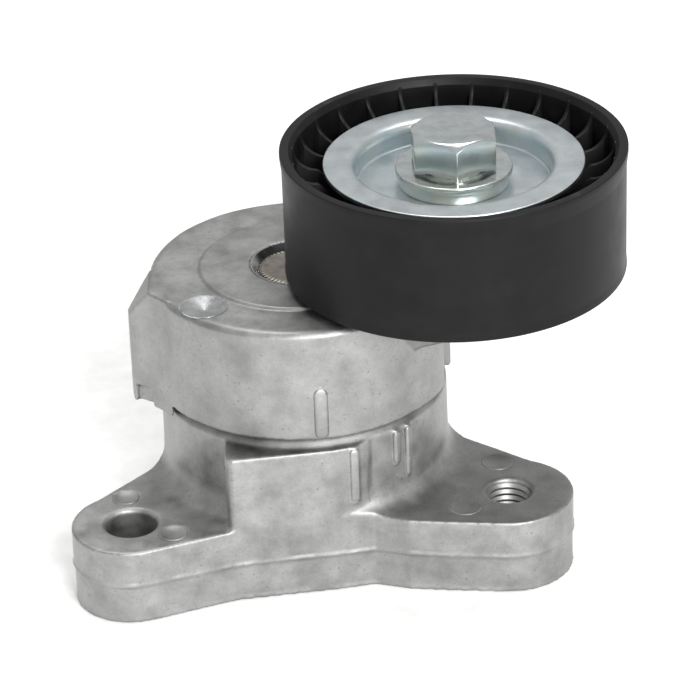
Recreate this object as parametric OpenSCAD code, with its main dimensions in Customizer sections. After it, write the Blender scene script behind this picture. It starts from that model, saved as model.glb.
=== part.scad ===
// Belt tensioner idler: a die-cast base with two bolt ears, a sprung arm that swings
// about a steel pivot shaft, and a ribbed idler pulley on a sealed ball bearing.
// Units are millimetres. The origin is where the arm's pivot axis meets the mounting
// face, +Z runs up the pivot axis, and the arm points along +X.

/* [Base housing] */
// Thickness of the bolt flange
flange_t = 17; // [15:0.5:20]
// Height of the round tower above the mounting face
tower_h = 36; // [34:0.5:40]
// Radius of the tower where it stands on the flange
tower_r = 31.1; // [30.6:0.1:32.5]
// Radius of the tower just under its chamfer
tower_top_r = 30.9; // [30.2:0.1:31.5]
// Size of the chamfer round the top of the tower
tower_chamfer = 1.6; // [1:0.1:2.2]
// Radius of the spring chamber inside the tower
chamber_r = 26; // [25:0.25:26.5]
// Thickness of the floor of the spring chamber above the mounting face
floor_z = 12; // [11.5:0.5:14]
// Radius of the concave fillet between tower and flange
foot_fillet = 4.5; // [2:0.5:6]

/* [Bolt ears] */
// Plain ear, distance left of the pivot axis
plain_ear_x = 37.5; // [36:0.5:44]
// Plain ear, distance in front of the pivot axis
plain_ear_y = 29.5; // [28:0.5:32]
// Radius of the plain ear
plain_ear_r = 12.7; // [11.5:0.1:13.5]
// Radius of the clearance hole in the plain ear
plain_hole_r = 5.5; // [4.5:0.25:6.5]
// Tapped ear, distance right of the pivot axis
tapped_ear_x = 43.1; // [41:0.1:50]
// Tapped ear, distance in front of the pivot axis
tapped_ear_y = 21.8; // [20:0.2:24]
// Radius of the tapped ear
tapped_ear_r = 13.8; // [12.5:0.1:14.5]
// Radius at the crests of the thread in the tapped ear
tapped_hole_r = 4.25; // [3.4:0.05:5.1]

/* [Swing arm] */
// Distance from the pivot axis to the pulley axis
arm_length = 33.8; // [32:0.2:38]
// Angle of the arm in its rest position, seen from above
arm_angle = -10.05; // [-30:0.05:10]
// Outer radius of the drum
drum_r = 31.9; // [31.5:0.1:33]
// Height of the drum
drum_h = 25.1; // [24:0.1:28]
// Thickness of the top plate of the drum
plate_t = 6; // [5:0.25:7]
// Thickness of the side wall of the drum
drum_wall = 3.9; // [3.4:0.1:4.5]
// Thickness of the web that carries the pulley
web_t = 10.1; // [8:0.1:12]
// Reach of the index lug beyond the pivot axis
lug_reach = 36.9; // [36:0.1:38]
// Angle the arm can swing from rest to its far stop
arm_travel = 35; // [25:1:38]

/* [Pivot] */
// Radius of the shaft journal
shaft_r = 8; // [7:0.1:8.5]
// Radius of the knurled shaft seat in the arm
knurl_r = 8.3; // [8.1:0.05:8.8]
// Wall of the pivot bushing
bushing_wall = 2; // [1.5:0.1:2.2]
// Radius of the disc that keeps the shaft in the base
disc_r = 15.5; // [14:0.5:16]

/* [Torsion spring] */
// Wire radius
wire_r = 2.4; // [1.8:0.1:2.6]
// Mean radius of the coil
coil_r = 19.3; // [18.8:0.1:19.8]
// Number of half turns
half_turns = 11; // [9:2:13]

/* [Pulley] */
// Radius of the belt face
pulley_r = 36; // [34:0.5:45]
// Width of the pulley
pulley_w = 27.6; // [26.5:0.1:32]
// Height of the small lips at both edges of the belt face
lip = 0.35; // [0.2:0.05:0.6]
// Thickness of the rim
rim_t = 2.4; // [2:0.1:3]
// Number of stiffening ribs on each side
rib_count = 27; // [18:1:30]
// Thickness of one rib
rib_t = 1.3; // [1:0.1:1.6]

/* [Bearing] */
// Bore radius
bearing_bore_r = 8.5; // [8.5:0.5:8.5]
// Outside radius
bearing_out_r = 20; // [20:0.5:20]
// Width
bearing_w = 12; // [12:0.5:12]
// Number of balls
ball_count = 8; // [7:1:8]
// Ball radius
ball_r = 3.2; // [3:0.05:3.25]

/* [Bolt and shields] */
// Distance across the flats of the bolt head
head_flats = 17; // [16:0.5:18]
// Height of the bolt head
head_h = 8.3; // [7:0.1:9]
// Radius of the bolt thread
bolt_r = 5; // [4.5:0.25:5.5]
// Radius of the bolt's washer
washer_r = 12.3; // [11.8:0.1:13]
// Thickness of the bolt's washer
washer_t = 1.6; // [1.2:0.1:2]
// Outer radius of the upper dust shield
shield_r = 27.4; // [26.5:0.1:28.5]
// Thickness of the shield sheet
shield_t = 1; // [0.8:0.1:1.2]
// Depth of the shield's centre below its rim
shield_dish = 5.1; // [4.5:0.1:5.5]

/* [Clearances] */
// Radial clearance of the shaft in its bushing
shaft_clear = 0.04; // [0.02:0.01:0.08]
// Radial clearance of the damping sleeve in the drum
sleeve_clear = 0.05; // [0.03:0.01:0.09]
// Axial play at a thrust face
thrust_gap = 0.1; // [0.05:0.05:0.2]
// Gap between the tower and the rim of the drum
rim_gap = 0.8; // [0.7:0.1:1.2]
// Gap between the drum and the pulley
pulley_gap = 2; // [1.5:0.1:3]
// Gap between a ball and its races
race_gap = 0.3; // [0.3:0.05:0.35]
// Gap between two parts that pass each other
air_gap = 0.35; // [0.3:0.05:0.5]

/* [Hidden] */
$fn = 96;
cut = 0.5;                 // how far a cutting solid runs past a face
// heights above the mounting face
rim_z = tower_h + rim_gap;
drum_top_z = rim_z + drum_h;
plate_z = drum_top_z - plate_t;
plateau_rise = 0.6;
plateau_r = 21.6;
plateau_z = drum_top_z + plateau_rise;
pulley_z = drum_top_z + pulley_gap;
pulley_top_z = pulley_z + pulley_w;
shield_z = pulley_top_z - 3.4;
shield_floor_z = shield_z - shield_dish;
spacer_t = 0.8;
bearing_top_z = shield_floor_z - shield_t - spacer_t;
bearing_z = bearing_top_z - bearing_w;
bearing_mid_z = bearing_z + bearing_w / 2;
boss_top_z = bearing_z - spacer_t - shield_t;
collar_t = 2.4;
collar_r = 11.6;
washer_z = shield_floor_z + collar_t;
head_z = washer_z + washer_t;
// pivot
bushing_r = shaft_r + shaft_clear + bushing_wall;
hub_r = bushing_r + 2.5;
hub_top_z = 43;
bushing_flange_t = 1.5;
upper_washer_t = 1.5;
arm_hub_z = hub_top_z + bushing_flange_t + thrust_gap + upper_washer_t;
arm_hub_r = 13;
recess_top_z = 7.5;
lower_washer_t = 1.5;
disc_top_z = recess_top_z - lower_washer_t - thrust_gap;
disc_t = 2.4;
spigot_r = 6;
rivet_r = 7.2;
rivet_t = 0.8;
recess_r = disc_r + 1;
pilot_r = 19;
pilot_depth = 2.5;
shaft_top_z = plateau_z - 1.7;
// damper
sleeve_r = drum_r - drum_wall - sleeve_clear;
sleeve_wall = 2.3;
sleeve_top_z = rim_z + 13.2;
shoulder_t = 0.6;
shoulder_r = 29;
collar_drop = 8;
band_t = 1;
band_h = 8;
band_angle = 300;
// spring
seat_t = 2;
seat_r = 23.4;
seat_in_r = 14.5;
coil_low_z = floor_z + seat_t + wire_r;
coil_high_z = plate_z - seat_t - wire_r;
half_rise = floor((coil_high_z - coil_low_z) / half_turns * 100) / 100;
coil_tilt = asin(half_rise / (2 * coil_r));
tang_l = 7;
// bearing
pitch_r = (bearing_bore_r + bearing_out_r) / 2;
race_r = ball_r + race_gap;
inner_land_r = pitch_r - 2.25;
outer_land_r = pitch_r + 2.25;
seal_seat_r = outer_land_r + 0.9;
seal_seat_h = 1.7;
seal_t = 1;
seal_inset = 0.35;
cage_half = 1.2;
cage_h = 8.4;
pocket_gap = 0.08;
// pulley
pulley_axis = [
  round(arm_length * cos(arm_angle) * 100) / 100,
  round(arm_length * sin(arm_angle) * 100) / 100
];
hub_wall = 3.4;
disc_web_t = 3;
lip_h = 2;
rib_top_z = pulley_top_z - 0.9;
// stops
rest_face = 94;            // angle of the face the rear lug rests on
lug_span = 12;             // angle the rear lug takes up
bumper_span = 2;           // angle the bumper takes up
stop_play = 0.4;           // angle left free at both ends of the travel
post_span = 9;             // angle one post takes up
stop_reach = 36;
post_top_z = rim_z + 9;
lug_z = rim_z - 2.6;
chamfer_z = tower_h - tower_chamfer;
block_top_z = chamfer_z - 0.2;

// ---------------------------------------------------------------- helpers

// Ring with a round hole, standing on z.
module ring(r_out, r_in, z, h) {
  translate([0, 0, z])
    difference() {
      cylinder(h = h, r = r_out);
      translate([0, 0, -cut]) cylinder(h = h + 2 * cut, r = r_in);
    }
}

// Plan of a bar that runs tangent to two circles.
module link(p, rp, q, rq) {
  d = norm(q - p);
  heading = atan2(q[1] - p[1], q[0] - p[0]);
  spread = acos((rp - rq) / d);
  translate(p) circle(r = rp);
  translate(q) circle(r = rq);
  polygon([
    p + rp * [cos(heading + spread), sin(heading + spread)],
    p + rp * [cos(heading - spread), sin(heading - spread)],
    q + rq * [cos(heading - spread), sin(heading - spread)],
    q + rq * [cos(heading + spread), sin(heading + spread)]
  ]);
}

// Puts a part on the pulley axis.
module at_pulley() {
  translate([pulley_axis[0], pulley_axis[1], 0]) children();
}

// Part of a ring between two angles.
module sector(r_out, r_in, from, to, z, h) {
  rotate([0, 0, from])
    rotate_extrude(angle = to - from)
      translate([r_in, z]) square([r_out - r_in, h]);
}

// Upright half-round bead on a round wall.
module bead(angle, wall_r, w, low_z, high_z, proud) {
  rotate([0, 0, angle])
    translate([wall_r + proud - w / 2, 0, low_z])
      union() {
        cylinder(h = high_z - low_z, r = w / 2, $fn = 32);
        translate([-w, -w / 2, 0]) cube([w, w, high_z - low_z]);
      }
}

// Shallow round mark left by an ejector pin.
module pin_mark(x, y, z, r) {
  translate([x, y, z - 0.25]) cylinder(h = 0.25 + cut, r = r, $fn = 48);
}

// ---------------------------------------------------------------- base

plain_ear = [-plain_ear_x, -plain_ear_y];
tapped_ear = [tapped_ear_x, -tapped_ear_y];

// Plan of the flange: two ears joined to the tower, with a stepped front edge.
module flange_plan() {
  link([0, 0], 21.3, plain_ear, plain_ear_r - 0.4);
  link([0, 0], 23.4, tapped_ear, tapped_ear_r - 0.5);
  translate(plain_ear) circle(r = plain_ear_r);
  translate(tapped_ear) circle(r = tapped_ear_r);
  circle(r = tower_r);
  polygon([
    plain_ear,
    plain_ear + plain_ear_r * [cos(-70), sin(-70)],
    [-19.2, -36.2],
    [-15.2, -34.8],
    [8, -31.6],
    [14, -30.4],
    [21.4, -32.9],
    [29, -34],
    tapped_ear + tapped_ear_r * [cos(-97), sin(-97)],
    tapped_ear,
    [0, 0]
  ]);
}

// Plan of the upright block on the front of the tower.
module block_plan() {
  translate([-15, -33]) circle(r = 1.8, $fn = 48);
  polygon([
    [-16.8, -22],
    [-16.8, -33],
    [-15.2, -34.8],
    [6, -32],
    [8.6, -31.3],
    [11, -30.1],
    [14, -27.9],
    [10, -15]
  ]);
}

module base_housing() {
  color([0.70, 0.70, 0.69])
    difference() {
      union() {
        linear_extrude(height = flange_t) flange_plan();
        translate([0, 0, flange_t - cut])
          cylinder(h = chamfer_z - flange_t + cut, r1 = tower_r, r2 = tower_top_r);
        translate([0, 0, chamfer_z])
          cylinder(h = tower_chamfer, r1 = tower_top_r, r2 = tower_top_r - tower_chamfer);
        linear_extrude(height = block_top_z) block_plan();
        foot_ring();
        bead(-71.5, tower_top_r, 2.4, flange_t + 3.5, block_top_z - 0.4, 1.9);
        bead(-51.5, tower_top_r, 2, flange_t + 9, block_top_z, 0.7);
        bead(-45.5, tower_top_r, 1.8, flange_t + 5, block_top_z, 0.7);
        rear_post(rest_face - post_span);
        rear_post(rest_face + lug_span + arm_travel + stop_play);
      }
      translate([0, 0, floor_z]) cylinder(h = tower_h, r = chamber_r);
      translate([0, 0, -cut]) cylinder(h = pilot_depth + cut, r = pilot_r);
      translate([0, 0, -cut]) cylinder(h = recess_top_z + cut, r = recess_r);
      translate([0, 0, -cut]) cylinder(h = floor_z + 2 * cut, r = bushing_r);
      ear_holes();
      pin_mark(-39, -19, flange_t, 2.6);
      pin_mark(-28.4, -34.4, flange_t, 2.8);
      pin_mark(41.2, -9.6, flange_t, 3.2);
      pin_mark(33.6, -28, flange_t, 3.2);
    }
  color([0.70, 0.70, 0.69])
    ring(hub_r, bushing_r, floor_z - cut, hub_top_z - floor_z + cut);
}

// Concave fillet round the foot of the tower, kept inside the flange.
module foot_ring() {
  intersection() {
    rotate_extrude()
      difference() {
        translate([tower_r - 2, flange_t - 1])
          square([foot_fillet + 2, foot_fillet + 1]);
        translate([tower_r + foot_fillet, flange_t + foot_fillet]) circle(r = foot_fillet);
      }
    linear_extrude(height = flange_t + foot_fillet + 1) flange_plan();
  }
}

// Post behind the tower, clear of the drum above the tower's edge.
module rear_post(from) {
  sector(stop_reach, drum_r + air_gap, from, from + post_span, 0, post_top_z);
  sector(drum_r + air_gap + 1, chamber_r + 2, from, from + post_span, 0, block_top_z);
}

module ear_holes() {
  translate([plain_ear[0], plain_ear[1], -cut])
    cylinder(h = flange_t + 2 * cut, r = plain_hole_r);
  translate([plain_ear[0], plain_ear[1], flange_t - 0.6])
    cylinder(h = 0.6 + cut, r1 = plain_hole_r, r2 = plain_hole_r + 0.6 + cut);
  translate([tapped_ear[0], tapped_ear[1], -cut])
    cylinder(h = flange_t + 2 * cut, r = tapped_hole_r);
  translate([tapped_ear[0], tapped_ear[1], flange_t - 0.6])
    cylinder(h = 0.6 + cut, r1 = tapped_hole_r, r2 = tapped_hole_r + 0.6 + cut);
}

module pivot_bushing() {
  color([0.85, 0.80, 0.62])
    difference() {
      union() {
        translate([0, 0, recess_top_z])
          cylinder(h = hub_top_z - recess_top_z, r = bushing_r);
        translate([0, 0, hub_top_z]) cylinder(h = bushing_flange_t, r = hub_r);
      }
      translate([0, 0, recess_top_z - cut])
        cylinder(h = hub_top_z, r = shaft_r + shaft_clear);
    }
}

module lower_thrust_washer() {
  color([0.86, 0.84, 0.78])
    ring(disc_r, shaft_r + air_gap, recess_top_z - lower_washer_t, lower_washer_t);
}

module damping_sleeve() {
  color([0.16, 0.16, 0.17])
    rotate_extrude()
      polygon([
        [chamber_r - sleeve_wall, tower_h - collar_drop],
        [chamber_r, tower_h - collar_drop],
        [chamber_r, tower_h],
        [shoulder_r, tower_h],
        [shoulder_r, tower_h + shoulder_t],
        [sleeve_r, tower_h + shoulder_t],
        [sleeve_r, sleeve_top_z],
        [sleeve_r - sleeve_wall, sleeve_top_z],
        [sleeve_r - sleeve_wall, tower_h + 2],
        [chamber_r - sleeve_wall, tower_h]
      ]);
}

module damper_band() {
  color([0.55, 0.56, 0.58])
    rotate([0, 0, arm_angle])
      rotate_extrude(angle = band_angle)
        translate([sleeve_r - sleeve_wall - band_t, sleeve_top_z - band_h - 1.5])
          square([band_t, band_h]);
}

module lower_spring_seat() {
  color([0.16, 0.16, 0.17])
    difference() {
      ring(seat_r, seat_in_r, floor_z, seat_t);
      for (turn = [0 : 60 : 300])
        rotate([0, 0, turn])
          translate([seat_r, 0, floor_z - cut])
            cylinder(h = seat_t + 2 * cut, r = 1.5, $fn = 32);
    }
}

// ---------------------------------------------------------------- spring

module torsion_spring() {
  color([0.30, 0.31, 0.33])
    translate([0, 0, coil_low_z + half_rise / 2]) {
      for (k = [0 : half_turns - 1])
        translate([0, 0, k * half_rise])
          rotate([0, 0, k % 2 == 0 ? 0 : 180])
            rotate([0, coil_tilt, 0])
              rotate_extrude(angle = 180, $fn = 32)
                translate([coil_r, 0]) circle(r = wire_r, $fn = 24);
      spring_tang(-half_rise / 2, 1);
      spring_tang((half_turns - 0.5) * half_rise, half_turns % 2 == 0 ? 1 : -1);
    }
}

// Straight, lightly dressed end of the spring wire.
module spring_tang(z, side) {
  overlap = 0.5;
  translate([side * coil_r * cos(coil_tilt), overlap, z])
    rotate([90, 0, 0])
      cylinder(h = tang_l + overlap, r = wire_r - 0.1, $fn = 24);
}

module upper_spring_seat() {
  color([0.16, 0.16, 0.17])
    ring(seat_r, seat_in_r, plate_z - seat_t, seat_t);
}

// ---------------------------------------------------------------- arm

module upper_thrust_washer() {
  color([0.66, 0.67, 0.69])
    ring(hub_r, shaft_r + air_gap, arm_hub_z - upper_washer_t, upper_washer_t);
}

module pivot_shaft() {
  color([0.52, 0.48, 0.44])
    difference() {
      union() {
        translate([0, 0, disc_top_z - disc_t]) cylinder(h = disc_t + cut, r = spigot_r);
        translate([0, 0, disc_top_z - disc_t - rivet_t])
          cylinder(h = rivet_t, r1 = rivet_r - 0.6, r2 = rivet_r);
        translate([0, 0, disc_top_z])
          cylinder(h = arm_hub_z - disc_top_z, r = shaft_r);
        translate([0, 0, arm_hub_z])
          cylinder(h = shaft_top_z - arm_hub_z, r = knurl_r);
      }
      knurl_grooves();
    }
}

// Fine straight knurl on the top end of the shaft.
module knurl_grooves() {
  groove = 0.5;
  count = 40;
  for (k = [0 : count - 1])
    rotate([0, 0, k * 360 / count])
      translate([knurl_r - 0.25, -groove / 2, shaft_top_z - 2.2])
        cube([1, groove, 3]);
}

module retaining_disc() {
  color([0.60, 0.61, 0.63])
    ring(disc_r, spigot_r, disc_top_z - disc_t, disc_t);
}

// Half section of the drum: side wall, top plate with a raised middle, and centre hub.
module drum_section() {
  round_r = 1.6;
  difference() {
    union() {
      translate([0, rim_z]) square([drum_r, drum_h - round_r]);
      translate([0, rim_z]) square([drum_r - round_r, drum_h]);
      translate([drum_r - round_r, drum_top_z - round_r]) circle(r = round_r);
      polygon([
        [0, drum_top_z - cut],
        [plateau_r, drum_top_z - cut],
        [plateau_r, drum_top_z],
        [plateau_r - plateau_rise, plateau_z],
        [0, plateau_z]
      ]);
    }
    translate([-drum_r, 0]) square([drum_r, 2 * drum_top_z]);
    translate([arm_hub_r, 0]) square([drum_r - drum_wall - arm_hub_r, plate_z]);
    square([arm_hub_r + cut, arm_hub_z]);
    square([knurl_r, 2 * drum_top_z]);
    polygon([
      [0, shaft_top_z - 0.2],
      [knurl_r, shaft_top_z - 0.2],
      [knurl_r + 1.8, plateau_z],
      [knurl_r + 1.8, plateau_z + cut],
      [0, plateau_z + cut]
    ]);
  }
}

// Half space below a plane that leans in from a tangent of the drum.
module lean_cut(angle, lean) {
  big = 3 * drum_r;
  rotate([0, 0, angle])
    translate([drum_r, 0, drum_top_z])
      rotate([0, lean, 0])
        translate([-big, -big / 2, -big])
          cube([big, big, 1.5 * big]);
}

// Tapering web from the drum to the pulley boss.
module arm_web() {
  end_r = 14.6;
  spread = acos((drum_r - end_r) / arm_length);
  lean = 18;
  intersection() {
    translate([0, 0, drum_top_z - web_t])
      linear_extrude(height = web_t) link([0, 0], drum_r - 1.7, pulley_axis, end_r);
    lean_cut(arm_angle - spread, lean);
    lean_cut(arm_angle + spread, lean);
  }
}

// Index lug on the left of the drum.
module index_lug() {
  slope_z = 7.1;
  reach = lug_reach - drum_r;
  intersection() {
    translate([0, 0, lug_z])
      linear_extrude(height = drum_top_z - lug_z)
        polygon([
          [-24, -15],
          [-28.2, -15],
          [-30.1, -12.7],
          [-31.8, -10.9],
          [-33.8, -9],
          [-lug_reach + 0.4, -7],
          [-lug_reach, -4],
          [-drum_r + 0.4, 0.6],
          [-24, 0.6]
        ]);
    translate([-drum_r, 0, drum_top_z])
      rotate([0, -atan2(slope_z, reach), 0])
        translate([-50, -50, -100])
          cube([100, 100, 100]);
    translate([-lug_reach, 0, drum_top_z - slope_z])
      rotate([0, 2.4, 0])
        translate([0, -50, -50])
          cube([100, 100, 100]);
  }
}

// Lug behind the drum that travels between the base's two rear posts.
module rear_lug() {
  sector(stop_reach, drum_r - 1, rest_face + stop_play + bumper_span,
         rest_face + lug_span, rim_z, 14);
}

module tensioner_arm() {
  color([0.72, 0.72, 0.71])
    difference() {
      union() {
        rotate_extrude() drum_section();
        difference() {
          union() {
            arm_web();
            at_pulley() translate([0, 0, drum_top_z - cut])
              cylinder(h = boss_top_z - drum_top_z + cut, r1 = 13, r2 = 11.5);
            index_lug();
            rear_lug();
            bead(-83.2, drum_r, 3, rim_z, rim_z + 12, 0.3);
          }
          cylinder(h = plate_z, r = drum_r - drum_wall);
          cylinder(h = rim_z, r = tower_r + air_gap);
          cylinder(h = 2 * drum_top_z, r = plateau_r + 1);
        }
      }
      at_pulley() cylinder(h = 2 * drum_top_z, r = bolt_r);
      rotate([0, 0, -138]) translate([26.8, 0, drum_top_z - 0.7])
        cylinder(h = 0.7 + cut, r1 = 1, r2 = 4.8 + 2.7, $fn = 64);
      lug_pocket();
    }
}

// Shallow pocket low on the front face of the index lug.
module lug_pocket() {
  face = atan2(4.4, -6.2);
  translate([-30.3, -11.4, 0])
    rotate([0, 0, face])
      translate([2.4, -1, lug_z - cut])
        cube([4.4, 1.5, 4.6]);
}

module stop_bumper() {
  color([0.16, 0.16, 0.17])
    sector(stop_reach - 0.4, drum_r + 0.6, rest_face + stop_play,
           rest_face + stop_play + bumper_span, rim_z + 1, 7);
}

// ---------------------------------------------------------------- bearing

// Cuts the ball track out of a ring section.
module race_track() {
  translate([pitch_r, bearing_mid_z]) circle(r = race_r, $fn = 64);
}

module bearing_inner_ring() {
  color([0.72, 0.73, 0.75])
    at_pulley() rotate_extrude()
      difference() {
        translate([bearing_bore_r, bearing_z])
          square([inner_land_r - bearing_bore_r, bearing_w]);
        race_track();
      }
}

module bearing_outer_ring() {
  color([0.72, 0.73, 0.75])
    at_pulley() rotate_extrude()
      difference() {
        translate([outer_land_r, bearing_z])
          square([bearing_out_r - outer_land_r, bearing_w]);
        race_track();
        for (z = [bearing_z - cut, bearing_top_z - seal_seat_h])
          translate([outer_land_r - cut, z])
            square([seal_seat_r - outer_land_r + cut, seal_seat_h + cut]);
      }
}

module bearing_balls() {
  color([0.80, 0.81, 0.83])
    at_pulley()
      for (k = [0 : ball_count - 1])
        rotate([0, 0, k * 360 / ball_count])
          translate([pitch_r, 0, bearing_mid_z])
            sphere(r = ball_r, $fn = 48);
}

module bearing_cage() {
  color([0.90, 0.86, 0.74])
    at_pulley()
      difference() {
        ring(pitch_r + cage_half, pitch_r - cage_half, bearing_mid_z - cage_h / 2, cage_h);
        for (k = [0 : ball_count - 1])
          rotate([0, 0, k * 360 / ball_count])
            translate([0, 0, bearing_mid_z])
              rotate([0, 90, 0])
                cylinder(h = bearing_out_r, r = ball_r + pocket_gap, $fn = 48);
      }
}

// Ring seal that sits in the outer ring.
module seal(z) {
  at_pulley()
    ring(seal_seat_r, inner_land_r + air_gap, z, seal_t);
}

module lower_seal() {
  color([0.12, 0.12, 0.12]) seal(bearing_z + seal_inset);
}

module upper_seal() {
  color([0.12, 0.12, 0.12]) seal(bearing_top_z - seal_inset - seal_t);
}

// ---------------------------------------------------------------- pulley

// Half section of the moulded pulley without its ribs.
module pulley_section() {
  difference() {
    union() {
      translate([pulley_r - rim_t, pulley_z]) square([rim_t, pulley_w]);
      translate([pulley_r - rim_t, pulley_z]) square([rim_t + lip, lip_h]);
      translate([pulley_r - rim_t, pulley_top_z - lip_h]) square([rim_t + lip, lip_h]);
      translate([bearing_out_r, bearing_z]) square([hub_wall, bearing_w]);
      translate([bearing_out_r + 1, bearing_mid_z - disc_web_t / 2])
        square([pulley_r - rim_t - bearing_out_r, disc_web_t]);
    }
    for (side = [0, 1])
      translate([pulley_r - rim_t, side * (2 * pulley_z + pulley_w)])
        mirror([0, side])
          polygon([
            [-cut, pulley_z - cut],
            [0.9, pulley_z - cut],
            [-cut, pulley_z + 1.4]
          ]);
  }
}

// One radial rib whose top runs down from the rim in a concave quarter round.
module pulley_rib() {
  hollow_r = 5;
  rib_in = bearing_out_r + 1;
  rib_out = pulley_r - rim_t + 0.6;
  hollow_x = pulley_r - rim_t - hollow_r;
  low_z = pulley_z + 3;
  rotate([90, 0, 0])
    translate([0, 0, -rib_t / 2])
      linear_extrude(height = rib_t)
        difference() {
          polygon([
            [rib_in, bearing_z + 0.4],
            [rib_out, low_z],
            [rib_out, rib_top_z],
            [hollow_x, rib_top_z],
            [hollow_x, rib_top_z - hollow_r],
            [rib_in, bearing_top_z - 0.4]
          ]);
          translate([hollow_x, rib_top_z]) circle(r = hollow_r);
        }
}

module pulley_shell() {
  color([0.09, 0.09, 0.09])
    at_pulley()
      union() {
        rotate_extrude() pulley_section();
        for (k = [0 : rib_count - 1])
          rotate([0, 0, 4.2 + 90 + k * 360 / rib_count]) pulley_rib();
      }
}

// ---------------------------------------------------------------- bolt and shields

module lower_spacer() {
  color([0.66, 0.67, 0.69])
    at_pulley() ring(inner_land_r - 0.4, bearing_bore_r, bearing_z - spacer_t, spacer_t);
}

module upper_spacer() {
  color([0.66, 0.67, 0.69])
    at_pulley() ring(inner_land_r - 0.4, bearing_bore_r, bearing_top_z, spacer_t);
}

module lower_dust_shield() {
  color([0.70, 0.72, 0.72])
    at_pulley() ring(bearing_out_r - 0.5, bearing_bore_r, boss_top_z, shield_t);
}

// Pressed shield: flat rim, rolled step down to a flat centre.
module dust_shield() {
  step_r = 20.4;
  bend = 1.6;
  color([0.66, 0.69, 0.69])
    at_pulley() rotate_extrude()
      difference() {
        union() {
          translate([step_r - bend, shield_z - shield_t])
            square([shield_r - step_r + bend, shield_t]);
          translate([step_r - shield_t, shield_floor_z])
            square([shield_t, shield_dish - shield_t / 2]);
          translate([bearing_bore_r, shield_floor_z - shield_t])
            square([step_r - bearing_bore_r, shield_t]);
          translate([step_r, shield_z - shield_t - bend])
            difference() {
              square([bend, bend]);
              translate([bend, 0]) circle(r = bend, $fn = 48);
            }
        }
        translate([step_r - shield_t - bend - cut, shield_z - bend])
          difference() {
            translate([-cut, 0]) square([2 * cut + bend + 1, bend + cut]);
            translate([2 * bend + cut + 0.6, 0]) circle(r = bend + 0.6, $fn = 48);
          }
      }
}

module centre_bushing() {
  color([0.70, 0.72, 0.72])
    at_pulley()
      difference() {
        union() {
          translate([0, 0, boss_top_z])
            cylinder(h = shield_floor_z - boss_top_z + cut, r = bearing_bore_r);
          translate([0, 0, shield_floor_z]) cylinder(h = collar_t, r = collar_r);
        }
        cylinder(h = 2 * pulley_top_z, r = bolt_r + 0.1);
      }
}

module bolt_washer() {
  edge = 0.3;
  color([0.72, 0.73, 0.73])
    at_pulley()
      difference() {
        union() {
          translate([0, 0, washer_z]) cylinder(h = washer_t - edge, r = washer_r);
          translate([0, 0, washer_z + washer_t - edge])
            cylinder(h = edge, r1 = washer_r, r2 = washer_r - edge);
        }
        cylinder(h = 2 * pulley_top_z, r = bolt_r + 0.1);
      }
}

module pulley_bolt() {
  corner_r = head_flats / 2 / cos(30);
  tip_z = drum_top_z - web_t + 1.5;
  chamfer_r = head_flats / 2 - 0.3;
  color([0.74, 0.75, 0.72])
    at_pulley() {
      rotate([0, 0, -88])
        intersection() {
          translate([0, 0, head_z]) cylinder(h = head_h, r = corner_r, $fn = 6);
          translate([0, 0, head_z + head_h - 1.4])
            mirror([0, 0, 1]) cylinder(h = 20, r1 = corner_r + 0.3, r2 = corner_r + 0.3);
        }
      rotate([0, 0, -88])
        intersection() {
          translate([0, 0, head_z + 1]) cylinder(h = head_h - 1, r = corner_r, $fn = 6);
          translate([0, 0, head_z + head_h - 2])
            cylinder(h = 2, r1 = corner_r + 1.6, r2 = chamfer_r);
        }
      translate([0, 0, tip_z + 1])
        cylinder(h = head_z - tip_z - 1 + cut, r = bolt_r);
      translate([0, 0, tip_z]) cylinder(h = 1, r1 = bolt_r - 0.8, r2 = bolt_r);
    }
}

// ---------------------------------------------------------------- output

base_housing();
pivot_bushing();
lower_thrust_washer();
damping_sleeve();
damper_band();
lower_spring_seat();
torsion_spring();
upper_spring_seat();
upper_thrust_washer();
pivot_shaft();
retaining_disc();
tensioner_arm();
stop_bumper();
lower_dust_shield();
lower_spacer();
bearing_inner_ring();
bearing_balls();
bearing_cage();
bearing_outer_ring();
lower_seal();
upper_seal();
pulley_shell();
upper_spacer();
dust_shield();
centre_bushing();
bolt_washer();
pulley_bolt();
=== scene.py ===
"""Looks of a spring-loaded belt tensioner with its idler pulley.

A die-cast base with two bolt ears carries a die-cast arm that swings on a steel shaft. A black
moulded pulley turns on the end of the arm, under a zinc-plated dust shield, a collar, a washer
and a hexagon bolt. All sizes in the classes are in millimetres; meshes are built in metres.
"""

from __future__ import annotations

import logging
import math
from collections.abc import Callable, Sequence
from dataclasses import dataclass
from enum import Enum

import bmesh
import bpy
import numpy as np
from mathutils import Matrix, Vector

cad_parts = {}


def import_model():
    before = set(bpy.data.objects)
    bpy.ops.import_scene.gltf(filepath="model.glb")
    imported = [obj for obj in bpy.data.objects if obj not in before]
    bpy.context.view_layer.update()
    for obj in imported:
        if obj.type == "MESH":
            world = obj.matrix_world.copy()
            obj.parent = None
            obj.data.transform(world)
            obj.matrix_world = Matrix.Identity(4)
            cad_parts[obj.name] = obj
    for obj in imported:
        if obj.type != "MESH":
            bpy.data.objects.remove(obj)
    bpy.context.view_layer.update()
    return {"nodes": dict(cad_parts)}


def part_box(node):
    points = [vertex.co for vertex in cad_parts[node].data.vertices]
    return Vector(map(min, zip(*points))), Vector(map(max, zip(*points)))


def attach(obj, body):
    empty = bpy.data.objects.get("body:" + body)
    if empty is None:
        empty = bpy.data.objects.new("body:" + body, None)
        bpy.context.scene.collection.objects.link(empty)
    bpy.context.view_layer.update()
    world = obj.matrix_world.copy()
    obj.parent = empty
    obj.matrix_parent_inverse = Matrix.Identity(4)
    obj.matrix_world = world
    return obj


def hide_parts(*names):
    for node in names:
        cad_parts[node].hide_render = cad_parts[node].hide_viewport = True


MM = 0.001
LOG = logging.getLogger("tensioner")

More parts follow.
